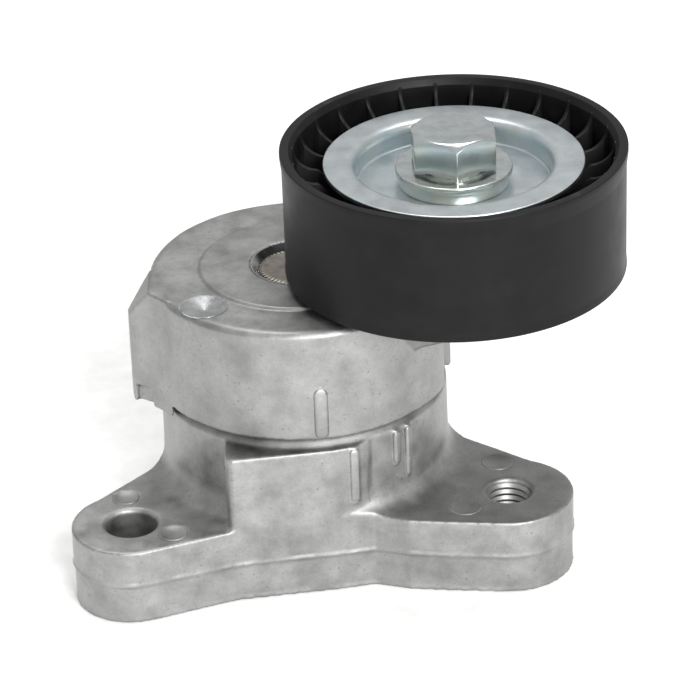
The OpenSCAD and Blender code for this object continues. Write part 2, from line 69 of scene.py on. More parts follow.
Corner = tuple[float, float, float]
Point = tuple[float, float]


class Body(Enum):
    """The moving bodies that pieces ride on."""

    BASE = "base"
    ARM = "arm"
    CAGE = "cage"
    PULLEY = "pulley"


# ---------------------------------------------------------------- colour and shader nodes


def linear(colour: str) -> tuple[float, float, float, float]:
    """Turn an sRGB hex colour into linear RGBA.

    Args:
        colour: Six hex digits, with or without a leading hash.

    Returns:
        Linear red, green, blue and an alpha of one.
    """
    text = colour.lstrip("#")
    parts = [int(text[k : k + 2], 16) / 255 for k in (0, 2, 4)]
    red, green, blue = (
        c / 12.92 if c <= 0.04045 else ((c + 0.055) / 1.055) ** 2.4 for c in parts
    )
    return red, green, blue, 1.0


def add(
    tree: bpy.types.NodeTree,
    kind: str,
    inputs: dict | None = None,
    stops: Sequence[tuple[float, tuple]] | None = None,
    **settings: object,
) -> bpy.types.Node:
    """Add one shader node with its settings, its values and its links.

    Args:
        tree: Node tree that takes the node.
        kind: Blender's node type.
        inputs: Value or feeding socket by input name or number.
        stops: Places and colours, for a node that holds a colour ramp.
        **settings: Properties to set on the node.

    Returns:
        The new node.
    """
    node = tree.nodes.new(kind)
    for key, value in settings.items():
        setattr(node, key, value)
    for key, value in (inputs or {}).items():
        if isinstance(value, bpy.types.NodeSocket):
            tree.links.new(value, node.inputs[key])
        else:
            node.inputs[key].default_value = value
    if stops:
        ramp = node.color_ramp.elements
        while len(ramp) < len(stops):
            ramp.new(0.5)
        for element, (place, colour) in zip(ramp, stops):
            element.position, element.color = place, colour
    return node


@dataclass(frozen=True)
class Finish:
    """A procedural finish: mottled colour, fine grain, wear, roughness and bump.

    Attributes:
        name: The real material and how its surface was made.
        deep: Darkest colour of the mottling.
        body: Main colour.
        pale: Lightest colour of the mottling.
        metallic: Share of metal.
        roughness: Lowest and highest roughness.
        patch: Size of the large patches, in millimetres.
        grain: Size of the fine grain, in millimetres.
        patch_rise: Height of the patches, in millimetres.
        grain_rise: Height of the grain, in millimetres.
        specks: Share of the surface that dark pits cover.
        speck: Size of the pits, in millimetres.
        worn: Colour that edges wear to.
        wear: How much of it shows.
        ior: Refractive index of what isn't metal.
        sheen: Level of its reflection, 0.5 being plain.
        rings: Spacing of turning marks round rings_at, or 0 for none.
        rings_at: Axis of the turning marks, in millimetres.
        seed: Shifts the patterns.
    """

    name: str
    deep: str
    body: str
    pale: str
    metallic: float
    roughness: tuple[float, float]
    patch: float
    grain: float
    patch_rise: float = 0.02
    grain_rise: float = 0.01
    specks: float = 0.0
    speck: float = 0.5
    worn: str = "C8C8C4"
    wear: float = 0.0
    ior: float = 1.5
    sheen: float = 0.5
    rings: float = 0.0
    rings_at: Point = (0.0, 0.0)
    seed: float = 0.0

    def colour(self, tree: bpy.types.NodeTree, patches: bpy.types.NodeSocket) -> bpy.types.NodeSocket:
        """Colour before wear.

        Args:
            tree: The material's nodes.
            patches: Large noise, from 0 to 1.

        Returns:
            Socket with the colour.
        """
        stops = [(0.30, linear(self.deep)), (0.5, linear(self.body)), (0.70, linear(self.pale))]
        return add(tree, "ShaderNodeValToRGB", {"Fac": patches}, stops).outputs["Color"]

    def make(self) -> bpy.types.Material:
        """Build the material once, and return it.

        Returns:
            The material of this finish.
        """
        made = bpy.data.materials.get(self.name)
        if made:
            return made
        made = bpy.data.materials.new(self.name)
        made.use_nodes = True
        tree = made.node_tree
        tree.nodes.clear()
        place = add(tree, "ShaderNodeTexCoord").outputs["Object"]
        place = add(
            tree, "ShaderNodeMapping", {"Vector": place, "Location": (self.seed, 2 * self.seed, 0)}
        ).outputs["Vector"]
        patches = add(
            tree,
            "ShaderNodeTexNoise",
            {"Vector": place, "Scale": 1 / (self.patch * MM), "Detail": 5.0, "Roughness": 0.6},
        ).outputs["Fac"]
        grain = add(
            tree,
            "ShaderNodeTexNoise",
            {"Vector": place, "Scale": 1 / (self.grain * MM), "Detail": 3.0, "Roughness": 0.65},
        ).outputs["Fac"]
        colour = self.colour(tree, patches)
        fine = add(
            tree,
            "ShaderNodeMapRange",
            {"Value": grain, "From Min": 0.3, "From Max": 0.7, "To Min": 0.93, "To Max": 1.05},
        ).outputs["Result"]
        colour = add(
            tree,
            "ShaderNodeMix",
            {"Factor": 1.0, 6: colour, 7: fine},
            data_type="RGBA",
            blend_type="MULTIPLY",
        ).outputs[2]
        if self.specks:
            pits = add(
                tree,
                "ShaderNodeTexNoise",
                {"Vector": place, "Scale": 1 / (self.speck * MM), "Detail": 1.0},
            ).outputs["Fac"]
            pit = add(
                tree,
                "ShaderNodeMapRange",
                {
                    "Value": pits,
                    "From Min": 0.30 + self.specks,
                    "From Max": 0.24 + self.specks,
                },
            ).outputs["Result"]
            colour = add(
                tree,
                "ShaderNodeMix",
                {"Factor": pit, 6: colour, 7: linear(self.deep)},
                data_type="RGBA",
            ).outputs[2]
        if self.wear:
            edge = add(tree, "ShaderNodeNewGeometry").outputs["Pointiness"]
            edge = add(
                tree,
                "ShaderNodeMapRange",
                {"Value": edge, "From Min": 0.52, "From Max": 0.60, "To Max": self.wear},
            ).outputs["Result"]
            edge = add(
                tree, "ShaderNodeMath", {0: edge, 1: grain}, operation="MULTIPLY"
            ).outputs["Value"]
            edge = add(
                tree, "ShaderNodeMath", {0: edge, 1: 2.0}, operation="MULTIPLY", use_clamp=True
            ).outputs["Value"]
            colour = add(
                tree,
                "ShaderNodeMix",
                {"Factor": edge, 6: colour, 7: linear(self.worn)},
                data_type="RGBA",
            ).outputs[2]
        low, high = self.roughness
        rough = add(
            tree,
            "ShaderNodeMapRange",
            {"Value": patches, "From Min": 0.3, "From Max": 0.7, "To Min": low, "To Max": high},
        ).outputs["Result"]
        normal = self.relief(tree, place, patches, grain)
        shader = add(
            tree,
            "ShaderNodeBsdfPrincipled",
            {"Base Color": colour, "Roughness": rough, "Normal": normal},
        )
        shader.inputs["Metallic"].default_value = self.metallic
        if self.metallic < 1:
            shader.inputs["IOR"].default_value = self.ior
            shader.inputs["Specular IOR Level"].default_value = self.sheen
        add(tree, "ShaderNodeOutputMaterial", {"Surface": shader.outputs["BSDF"]})
        return made

    def relief(
        self,
        tree: bpy.types.NodeTree,
        place: bpy.types.NodeSocket,
        patches: bpy.types.NodeSocket,
        grain: bpy.types.NodeSocket,
    ) -> bpy.types.NodeSocket:
        """Bump of the patches, the grain and any turning marks.

        Args:
            tree: The material's nodes.
            place: Pattern coordinates.
            patches: Large noise.
            grain: Fine noise.

        Returns:
            Socket with the normal.
        """
        normal = add(
            tree,
            "ShaderNodeBump",
            {"Height": patches, "Distance": self.patch_rise * MM, "Strength": 1.0},
        ).outputs["Normal"]
        normal = add(
            tree,
            "ShaderNodeBump",
            {
                "Height": grain,
                "Distance": self.grain_rise * MM,
                "Strength": 1.0,
                "Normal": normal,
            },
        ).outputs["Normal"]
        if self.rings:
            shift = (-self.rings_at[0] * MM, -self.rings_at[1] * MM, 0)
            centred = add(
                tree, "ShaderNodeMapping", {"Vector": place, "Location": shift}
            ).outputs["Vector"]
            wave = add(
                tree,
                "ShaderNodeTexWave",
                {"Vector": centred, "Scale": 0.05 / (self.rings * MM), "Distortion": 0.4},
                wave_type="RINGS",
                rings_direction="Z",
            ).outputs["Fac"]
            normal = add(
                tree,
                "ShaderNodeBump",
                {"Height": wave, "Distance": 0.004 * MM, "Strength": 1.0, "Normal": normal},
            ).outputs["Normal"]
        return normal

    def dress(self, piece: bpy.types.Object) -> bpy.types.Object:
        """Put this finish on a piece in place of what it had."""
        piece.data.materials.clear()
        piece.data.materials.append(self.make())
        return piece


@dataclass(frozen=True)
class PlatedFinish(Finish):
    """Clear-passivated zinc, whose thin film shows faint blue and straw tints."""

    cool: str = "B4CBD4"
    warm: str = "CBCBB8"
    tint: float = 0.45

    def colour(self, tree: bpy.types.NodeTree, patches: bpy.types.NodeSocket) -> bpy.types.NodeSocket:
        """Colour with tints that grow stronger as a face tilts away from up.

        Args:
            tree: The material's nodes.
            patches: Large noise, from 0 to 1.

        Returns:
            Socket with the colour.
        """
        plain = super().colour(tree, patches)
        place = add(tree, "ShaderNodeTexCoord").outputs["Object"]
        drift = add(
            tree, "ShaderNodeTexNoise", {"Vector": place, "Scale": 1 / (11 * MM), "Detail": 2.0}
        ).outputs["Fac"]
        slope = add(tree, "ShaderNodeNewGeometry").outputs["Normal"]
        up = add(tree, "ShaderNodeSeparateXYZ", {"Vector": slope}).outputs["Z"]
        # Tint share from how far the face tilts away from up: small on upward faces, full on steep
        # ones.
        tilt = add(
            tree,
            "ShaderNodeMapRange",
            {"Value": up, "From Min": 0.98, "From Max": 0.4, "To Min": 0.12, "To Max": 1.0},
        ).outputs["Result"]
        film = add(
            tree,
            "ShaderNodeValToRGB",
            {"Fac": drift},
            [(0.40, linear(self.cool)), (0.5, linear(self.body)), (0.60, linear(self.warm))],
        ).outputs["Color"]
        share = add(
            tree, "ShaderNodeMath", {0: tilt, 1: self.tint}, operation="MULTIPLY"
        ).outputs["Value"]
        return add(
            tree,
            "ShaderNodeMix",
            {"Factor": share, 6: plain, 7: film},
            data_type="RGBA",
        ).outputs[2]


# Die-cast aluminium, tumbled: a dull grey metal with soft cloudy patches and a fine grain.
CAST_BASE = Finish(
    name="die_cast_aluminium_tumbled_base",
    deep="8C8C8B",
    body="9E9E9D",
    pale="ADADAC",
    metallic=1.0,
    roughness=(0.42, 0.58),
    patch=6.0,
    grain=0.55,
    patch_rise=0.025,
    grain_rise=0.010,
    specks=0.015,
    speck=0.8,
)
CAST_ARM = Finish(
    name="die_cast_aluminium_tumbled_arm",
    deep="8B8B8A",
    body="9C9C9B",
    pale="ABABAA",
    metallic=1.0,
    roughness=(0.42, 0.58),
    patch=6.5,
    grain=0.55,
    patch_rise=0.025,
    grain_rise=0.010,
    specks=0.015,
    speck=0.8,
    seed=0.37,
)
# Die-cast aluminium, freshly cut: brighter than the skin, with fine turning marks.
CUT_ALUMINIUM = Finish(
    name="die_cast_aluminium_turned",
    deep="9A9B9C",
    body="B0B1B2",
    pale="BFC0C0",
    metallic=1.0,
    roughness=(0.22, 0.32),
    patch=3.0,
    grain=0.3,
    patch_rise=0.01,
    grain_rise=0.004,
    rings=0.3,
)
# Glass-filled nylon, moulded: black with a soft satin sheen and a faint dusty speckle.
NYLON = Finish(
    name="glass_filled_nylon_moulded_black",
    deep="0A0A0A",
    body="0E0E0E",
    pale="131313",
    metallic=0.0,
    roughness=(0.40, 0.50),
    patch=6.0,
    grain=0.35,
    patch_rise=0.01,
    grain_rise=0.006,
    worn="3A3A39",
    wear=0.25,
    ior=1.53,
    sheen=0.17,
)
# Pressed steel, zinc plated and clear passivated: bright, slightly blue, with blue and straw tints
# stronger on faces that tilt away from up.
ZINC_SHIELD = PlatedFinish(
    name="pressed_steel_zinc_plated_shield",
    deep="BAC2C4",
    body="C8CFD1",
    pale="D1D7D9",
    metallic=1.0,
    roughness=(0.30, 0.38),
    patch=5.0,
    grain=0.30,
    patch_rise=0.006,
    grain_rise=0.004,
    worn="D8DAD8",
    wear=0.2,
)
# Cold-formed steel, zinc plated: as the shield, with sharper reflections on the flats.
ZINC_STEEL = PlatedFinish(
    name="cold_formed_steel_zinc_plated",
    deep="B4BABB",
    body="C6CBCB",
    pale="D0D4D3",
    metallic=1.0,
    roughness=(0.17, 0.25),
    patch=3.0,
    grain=0.25,
    patch_rise=0.003,
    grain_rise=0.003,
    worn="E0E2E0",
    wear=0.3,
    seed=0.11,
)
# Bright drawn steel, oiled: a brownish grey with turning marks.
SHAFT_STEEL = Finish(
    name="drawn_steel_turned_oiled",
    deep="6E675F",
    body="857F78",
    pale="969089",
    metallic=1.0,
    roughness=(0.32, 0.45),
    patch=2.5,
    grain=0.3,
    grain_rise=0.006,
    worn="C9C5BE",
    wear=0.3,
    rings=0.35,
)
# Hardened bearing steel, ground: nearly a mirror with a faint lay.
BEARING_STEEL = Finish(
    name="bearing_steel_ground",
    deep="A9ABAD",
    body="BDBFC1",
    pale="C8CACC",
    metallic=1.0,
    roughness=(0.14, 0.22),
    patch=4.0,
    grain=0.2,
    patch_rise=0.002,
    grain_rise=0.001,
)
# Hardened steel washer, tumbled and oiled: dark straw grey.
THRUST_STEEL = Finish(
    name="hardened_steel_tumbled",
    deep="77746C",
    body="908D85",
    pale="A3A098",
    metallic=1.0,
    roughness=(0.30, 0.42),
    patch=3.0,
    grain=0.3,
)
# Music wire with a phosphate coat: dark grey, dull, slightly speckled.
SPRING_WIRE = Finish(
    name="spring_wire_phosphated",
    deep="2B2B2C",
    body="3A3A3B",
    pale="4A4A4A",
    metallic=0.7,
    roughness=(0.42, 0.58),
    patch=2.0,
    grain=0.25,
    grain_rise=0.01,
)
# Spring steel strip, blued: blue-grey with a soft sheen.
SPRING_BAND = Finish(
    name="spring_strip_blued",
    deep="3C444C",
    body="515A62",
    pale="66707A",
    metallic=1.0,
    roughness=(0.28, 0.38),
    patch=4.0,
    grain=0.3,
)
# Nylon filled with molybdenum sulphide, moulded: charcoal, waxy.
DAMPING_NYLON = Finish(
    name="friction_nylon_moulded_charcoal",
    deep="1A1A1B",
    body="232324",
    pale="2E2E2E",
    metallic=0.0,
    roughness=(0.45, 0.6),
    patch=3.0,
    grain=0.3,
    ior=1.53,
)
# Acetal with dry lubricant, moulded: warm off-white, waxy.
BUSHING_ACETAL = Finish(
    name="acetal_moulded_cream",
    deep="BDB193",
    body="CFC4A6",
    pale="DBD2B8",
    metallic=0.0,
    roughness=(0.35, 0.5),
    patch=4.0,
    grain=0.4,
    ior=1.48,
)
# Nylon bearing cage, moulded: ivory.
CAGE_NYLON = Finish(
    name="nylon_cage_moulded_ivory",
    deep="C9BF9F",
    body="DACFAF",
    pale="E4DCC2",
    metallic=0.0,
    roughness=(0.35, 0.48),
    patch=3.0,
    grain=0.35,
    ior=1.53,
)
# Nitrile rubber seal, moulded: near black and dull.
SEAL_RUBBER = Finish(
    name="nitrile_rubber_moulded",
    deep="101010",
    body="181818",
    pale="222222",
    metallic=0.0,
    roughness=(0.6, 0.75),
    patch=2.0,
    grain=0.25,
    ior=1.52,
    seed=0.2,
)
# Bumper rubber, moulded: black, dull, a little chalky.
BUMPER_RUBBER = Finish(
    name="bumper_rubber_moulded",
    deep="121212",
    body="1C1C1C",
    pale="2A2A2A",
    metallic=0.0,
    roughness=(0.65, 0.8),
    patch=1.5,
    grain=0.2,
    ior=1.52,
    seed=0.5,
)
# Studio floor, matt white paint.
FLOOR_PAINT = Finish(
    name="studio_floor_matt_white",
    deep="F2F2F1",
    body="F5F5F4",
    pale="F7F7F6",
    metallic=0.0,
    roughness=(0.9, 0.95),
    patch=90.0,
    grain=9.0,
    patch_rise=0.0,
    grain_rise=0.0,
    ior=1.4,
)


# ---------------------------------------------------------------- mesh tools


def rounded(corners: Sequence[Corner], steps: int = 6) -> list[Point]:
    """Outline with its corners rounded.

    Args:
        corners: Radius, height and fillet of each corner of a closed outline, in millimetres.
        steps: Points along each fillet, less one.

    Returns:
        Points of the outline, in millimetres.
    """
    points: list[Point] = []
    count = len(corners)
    for k, (x, y, fillet) in enumerate(corners):
        here = Vector((x, y))
        before = Vector(corners[k - 1][:2]) - here
        after = Vector(corners[(k + 1) % count][:2]) - here
        turn = before.angle(after)
        if fillet <= 0 or abs(turn - math.pi) < 1e-3:
            points.append((x, y))
            continue
        run = min(fillet / math.tan(turn / 2), 0.49 * before.length, 0.49 * after.length)
        start, end = here + before.normalized() * run, here + after.normalized() * run
        for s in range(steps + 1):
            t = s / steps
            spot = start * (1 - t) ** 2 + here * 2 * t * (1 - t) + end * t**2
            points.append((spot.x, spot.y))
    return points


def sharpen(made: bmesh.types.BMesh, limit: float) -> None:
    """Shade smooth, with sharp edges where faces meet at more than limit degrees."""
    for face in made.faces:
        face.smooth = True
    for edge in made.edges:
        edge.smooth = len(edge.link_faces) == 2 and edge.calc_face_angle() < math.radians(limit)


def to_piece(made: bmesh.types.BMesh, name: str, limit: float = 35) -> bpy.types.Object:
    """Turn a bmesh into an object in the scene.

    Args:
        made: The mesh, in metres, in the row frame. It is freed.
        name: Name of the piece.
        limit: Angle over which an edge is sharp, in degrees.

    Returns:
        The new object.
    """
    bmesh.ops.remove_doubles(made, verts=made.verts, dist=1e-7)
    bmesh.ops.recalc_face_normals(made, faces=made.faces)
    sharpen(made, limit)
    mesh = bpy.data.meshes.new(name)
    made.to_mesh(mesh)
    made.free()
    piece = bpy.data.objects.new(name, mesh)
    bpy.context.scene.collection.objects.link(piece)
    return piece


def lathe(
    made: bmesh.types.BMesh, outline: Sequence[Point], axis: Point, segments: int = 192
) -> None:
    """Turn a closed outline round an upright axis.

    Args:
        made: Mesh that takes the faces.
        outline: Radius and height of each point, in millimetres.
        axis: Place of the axis in plan, in millimetres.
        segments: Steps round the axis.
    """
    rings = []
    for k in range(segments):
        a = 2 * math.pi * k / segments
        c, s = math.cos(a), math.sin(a)
        rings.append(
            [
                made.verts.new(((axis[0] + r * c) * MM, (axis[1] + r * s) * MM, z * MM))
                for r, z in outline
            ]
        )
    count = len(outline)
    for k in range(segments):
        one, two = rings[k], rings[(k + 1) % segments]
        for j in range(count):
            i = (j + 1) % count
            if outline[j][0] > 0 or outline[i][0] > 0:
                made.faces.new((one[j], two[j], two[i], one[i]))


def loft(made: bmesh.types.BMesh, sections: Sequence[Sequence[Vector]], closed: bool = False) -> None:
    """Join matching rings of points with faces, and cap the ends of an open one.

    Args:
        made: Mesh that takes the faces.
        sections: Rings of points, in metres.
        closed: True if the last ring joins the first.
    """
    rings = [[made.verts.new(p) for p in section] for section in sections]
    last = len(rings) if closed else len(rings) - 1
    for k in range(last):
        one, two = rings[k], rings[(k + 1) % len(rings)]
        for j in range(len(one)):
            i = (j + 1) % len(one)
            made.faces.new((one[j], one[i], two[i], two[j]))
    if not closed:
        made.faces.new(rings[0][::-1])
        made.faces.new(rings[-1])


def bar(made: bmesh.types.BMesh, sizes: Sequence[float], steps: int = 10) -> None:
    """Upright bead with a round back and round ends, on the wall of a cylinder.

    Args:
        made: Mesh that takes the faces.
        sizes: Angle in degrees, then wall radius, width, lowest and highest point, and height.
        steps: Points across the bead, less one.
    """
    angle, wall, width, low, high, proud = sizes
    turn = Matrix.Rotation(math.radians(angle), 4, "Z")
    half = width / 2
    ends = [half * (1 - math.cos(math.pi / 2 * k / 5)) for k in range(6)]
    levels = [(low + e, k) for k, e in enumerate(ends)]
    levels += [(high - e, k) for k, e in reversed(list(enumerate(ends)))]
    sections = []
    for z, k in levels:
        share = max(math.sin(math.pi / 2 * k / 5), 0.03)
        section = [(wall - 0.8, -half * share), (wall - 0.8, half * share)]
        for j in range(steps + 1):
            u = 1 - 2 * j / steps
            lift = proud * share * (1 - u**4) ** 0.5
            section.append((wall + lift - 0.1 * (1 - share), u * half * share))
        sections.append([turn @ Vector((r * MM, v * MM, z * MM)) for r, v in section])
    loft(made, sections)


def settle(piece: bpy.types.Object) -> bpy.types.Object:
    """Apply a piece's modifiers to its mesh."""
    bpy.context.view_layer.update()
    graph = bpy.context.evaluated_depsgraph_get()
    mesh = bpy.data.meshes.new_from_object(piece.evaluated_get(graph))
    piece.modifiers.clear()
    old, piece.data = piece.data, mesh
    mesh.name = piece.name
    bpy.data.meshes.remove(old)
    return piece


def cloudy(points: np.ndarray, size: float, seed: int) -> np.ndarray:
    """Smooth random field over points.

    Args:
        points: Places, in metres, one row each.
        size: Distance between the field's knots, in millimetres.
        seed: Seed of the field.

    Returns:
        Values from -1 to 1, one for each point.
    """
    scaled = points / (size * MM)
    scaled = scaled - scaled.min(0)
    cell = np.floor(scaled).astype(int)
    t = scaled - cell
    t = t * t * (3 - 2 * t)
    knots = np.random.default_rng(seed).uniform(-1, 1, tuple(cell.max(0) + 2))
    value = np.zeros(len(points))
    for dx in (0, 1):
        for dy in (0, 1):
            for dz in (0, 1):
                share = (
                    (t[:, 0] if dx else 1 - t[:, 0])
                    * (t[:, 1] if dy else 1 - t[:, 1])
                    * (t[:, 2] if dz else 1 - t[:, 2])
                )
                value += share * knots[cell[:, 0] + dx, cell[:, 1] + dy, cell[:, 2] + dz]
    return value


Shift = Callable[[np.ndarray, np.ndarray], np.ndarray]


def casting(
    source: bpy.types.Object, name: str, grid: float, passes: int, shift: Shift
) -> bpy.types.Object:
    """Copy of a CAD solid with the soft edges and the uneven skin of a casting.

    Args:
        source: The CAD node.
        name: Name of the new piece.
        grid: Mesh size, in millimetres.
        passes: Smoothing passes, which round the edges.
        shift: Moves vertices: takes places and normals, and returns new places, in metres.

    Returns:
        The new piece.
    """
    piece = bpy.data.objects.new(name, source.data.copy())
    bpy.context.scene.collection.objects.link(piece)
    weld = piece.modifiers.new("weld", "WELD")
    weld.merge_threshold = 0.01 * MM
    remesh = piece.modifiers.new("remesh", "REMESH")
    remesh.mode = "VOXEL"
    remesh.voxel_size = grid * MM
    remesh.use_smooth_shade = True
    smooth = piece.modifiers.new("smooth", "SMOOTH")
    smooth.factor = 0.5
    smooth.iterations = passes
    settle(piece)
    mesh = piece.data
    places = np.zeros(len(mesh.vertices) * 3)
    normals = np.zeros(len(mesh.vertices) * 3)
    mesh.vertices.foreach_get("co", places)
    mesh.vertices.foreach_get("normal", normals)
    moved = shift(places.reshape(-1, 3), normals.reshape(-1, 3))
    mesh.vertices.foreach_set("co", moved.ravel())
    mesh.update()
    return piece


def centre_of(node: str) -> Point:
    """Plan centre of a round CAD node, in millimetres."""
    low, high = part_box(node)
    return (low.x + high.x) / 2 / MM, (low.y + high.y) / 2 / MM


def heights(node: str) -> tuple[float, float]:
    """Lowest and highest point of a CAD node, in millimetres."""
    low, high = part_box(node)
    return low.z / MM, high.z / MM


def place(
    piece: bpy.types.Object, body: Body, slot: str, finish: Finish, *nodes: str
) -> bpy.types.Object:
    """Dress a piece, put it on its body and hide the CAD nodes that it replaces.

    Args:
        piece: The new piece.
        body: Body that it rides on.
        slot: Name of a material slot; not used.
        finish: Its finish.
        *nodes: CAD nodes that it replaces.

    Returns:
        The same piece.
    """
    finish.dress(piece)
    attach(piece, body.value)
    if nodes:
        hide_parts(*nodes)
    LOG.info("%s: %d vertices, rides on %s", piece.name, len(piece.data.vertices), body.value)
    return piece


# ---------------------------------------------------------------- base


@dataclass
class BaseCasting:
    """The base: a flange with two ears, a tower, and the thread cut in one ear.

    Attributes:
        grid: Mesh size of the casting.
        passes: Smoothing passes that round its edges.
        parting: Height of the parting line.
        flash: How far the flash stands out.
        plain_hole: Centre of the plain hole.
        tapped_hole: Centre of the tapped hole.
        crest: Radius of the thread's crests.
        root: Radius of its roots.
        pitch: Its pitch.
        top: Height of the ears' top faces.
        tower_r: Radius of the tower at its foot.
        sunk: How far the casting stays under those marks.
        marks: Place and radius of each mark of an ejector pin.
        beads: Angle, wall radius, width, lowest and highest point, and height of each bead.
    """

    grid: float = 0.4
    passes: int = 4
    parting: float = 8.7
    flash: float = 0.28
    plain_hole: Point = (-37.5, -29.5)
    tapped_hole: Point = (43.1, -21.8)
    crest: float = 4.25
    root: float = 4.8
    pitch: float = 1.5
    top: float = 17.0
    tower_r: float = 31.1
    sunk: float = 0.35
    marks: tuple[Corner, ...] = (
        (-39.0, -19.0, 2.6),
        (-28.4, -34.4, 2.8),
        (41.2, -9.6, 3.2),
        (33.6, -28.0, 3.2),
    )
    beads: tuple[tuple[float, ...], ...] = (
        (-71.5, 31.9, 2.4, 20.8, 33.9, 1.1),
        (-51.5, 30.95, 2.0, 26.0, 34.2, 0.8),
        (-45.5, 30.95, 1.8, 22.0, 34.2, 0.8),
    )

    def uneven(self, places: np.ndarray, normals: np.ndarray) -> np.ndarray:
        """Skin of the casting: shallow waves, a rough parting line and a hole cut for the thread.

        Args:
            places: Vertex places, in metres.
            normals: Vertex normals.

        Returns:
            New places.
        """
        x, y, z = (places / MM).T
        rise = 0.05 * cloudy(places, 10, 1) + 0.03 * cloudy(places, 2.5, 2)
        holes = np.minimum(
            np.hypot(x - self.plain_hole[0], y - self.plain_hole[1]),
            np.hypot(x - self.tapped_hole[0], y - self.tapped_hole[1]),
        )
        outer = (np.hypot(x, y) > 24) & (holes > 7) & (abs(normals[:, 2]) < 0.6)
        line = np.clip(1.3 - abs(z - self.parting - 0.25 * cloudy(places, 7, 5)) / 0.5, 0, 1)
        rough = 0.75 + 0.5 * cloudy(places, 1.3, 3) + 0.3 * cloudy(places, 5, 4)
        lower = -np.clip((self.parting - z) / 0.5, 0, 1) * 0.2
        rise = rise + outer * (self.flash * line * rough + lower)
        rise = rise * np.clip(z / 1.0, 0, 1)
        moved = places + normals * rise[:, None] * MM
        wall = self.tower_r - 0.012 * (z - self.top)
        far = np.hypot(x, y)
        snap = np.clip((0.45 - abs(far - wall)) / 0.3, 0, 1) * (abs(normals[:, 2]) < 0.5)
        snap = (snap * np.clip((z - self.top - 4) / 2, 0, 1) * (z < self.top + 17))[:, None]
        moved[:, :2] += snap * (places[:, :2] * (wall / np.maximum(far, 1))[:, None] - moved[:, :2])
        for mark_x, mark_y, mark_r in self.marks:
            near = (np.hypot(x - mark_x, y - mark_y) < mark_r + 0.1) & (abs(z - self.top) < 0.6)
            moved[:, 2] = np.where(near, (self.top - self.sunk) * MM, moved[:, 2])
        dx, dy = x - self.tapped_hole[0], y - self.tapped_hole[1]
        far = np.hypot(dx, dy)
        push = (self.root - self.crest) * np.clip((far - 2) / 1.5, 0, 1) * np.clip((7 - far) / 2, 0, 1)
        moved[:, 0] += dx / np.maximum(far, 1e-6) * push * MM
        moved[:, 1] += dy / np.maximum(far, 1e-6) * push * MM
        return moved

    def pins(self) -> bpy.types.Object:
        """Flat round marks of the ejector pins, each inside a faint raised ring."""
        made = bmesh.new()
        for mark_x, mark_y, mark_r in self.marks:
            outline = [
                (0.0, self.top - 0.14),
                (mark_r - 0.35, self.top - 0.10),
                (mark_r - 0.12, self.top + 0.06),
                (mark_r + 0.08, self.top + 0.08),
                (mark_r + 0.3, self.top - 0.12),
                (mark_r + 0.3, self.top - 0.8),
                (0.0, self.top - 0.8),
            ]
            lathe(made, outline, (mark_x, mark_y), 64)
        return to_piece(made, "ejector_pin_marks", 40)

    def thread(self) -> bpy.types.Object:
        """Helical ridge of the tapped hole."""
        made = bmesh.new()
        start, end = 0.6, self.top - 0.5
        turns = (end - start) / self.pitch - 1
        per_turn = 48
        steps = int(turns * per_turn)
        half = 0.46 * self.pitch
        outline = [
            (self.root + 0.25, -half),
            (self.root, -half),
            (self.crest + 0.08, -0.12),
            (self.crest, 0.0),
            (self.crest + 0.08, 0.12),
            (self.root, half),
            (self.root + 0.25, half),
        ]
        sections = []
        for k in range(steps + 1):
            a = 2 * math.pi * k / per_turn
            lift = start + self.pitch / 2 + self.pitch * k / per_turn
            sections.append(
                [
                    Vector(
                        (
                            (self.tapped_hole[0] + r * math.cos(a)) * MM,
                            (self.tapped_hole[1] + r * math.sin(a)) * MM,
                            (lift + z) * MM,
                        )
                    )
                    for r, z in outline
                ]
            )
        loft(made, sections)
        return to_piece(made, "tapped_hole_thread", 50)

    def build(self, nodes: dict[str, bpy.types.Object]) -> None:
        """Build the casting and its thread.

        Args:
            nodes: CAD nodes by name.
        """
        made = casting(nodes["base_housing"], "base_casting", self.grid, self.passes, self.uneven)
        place(made, Body.BASE, "cast_base", CAST_BASE, "base_housing")
        place(self.thread(), Body.BASE, "cast_base", CAST_BASE)
        place(self.pins(), Body.BASE, "cast_base", CAST_BASE)
        beads = bmesh.new()
        for bead in self.beads:
            bar(beads, bead)
        place(to_piece(beads, "tower_beads", 60), Body.BASE, "cast_base", CAST_BASE)


# ---------------------------------------------------------------- arm


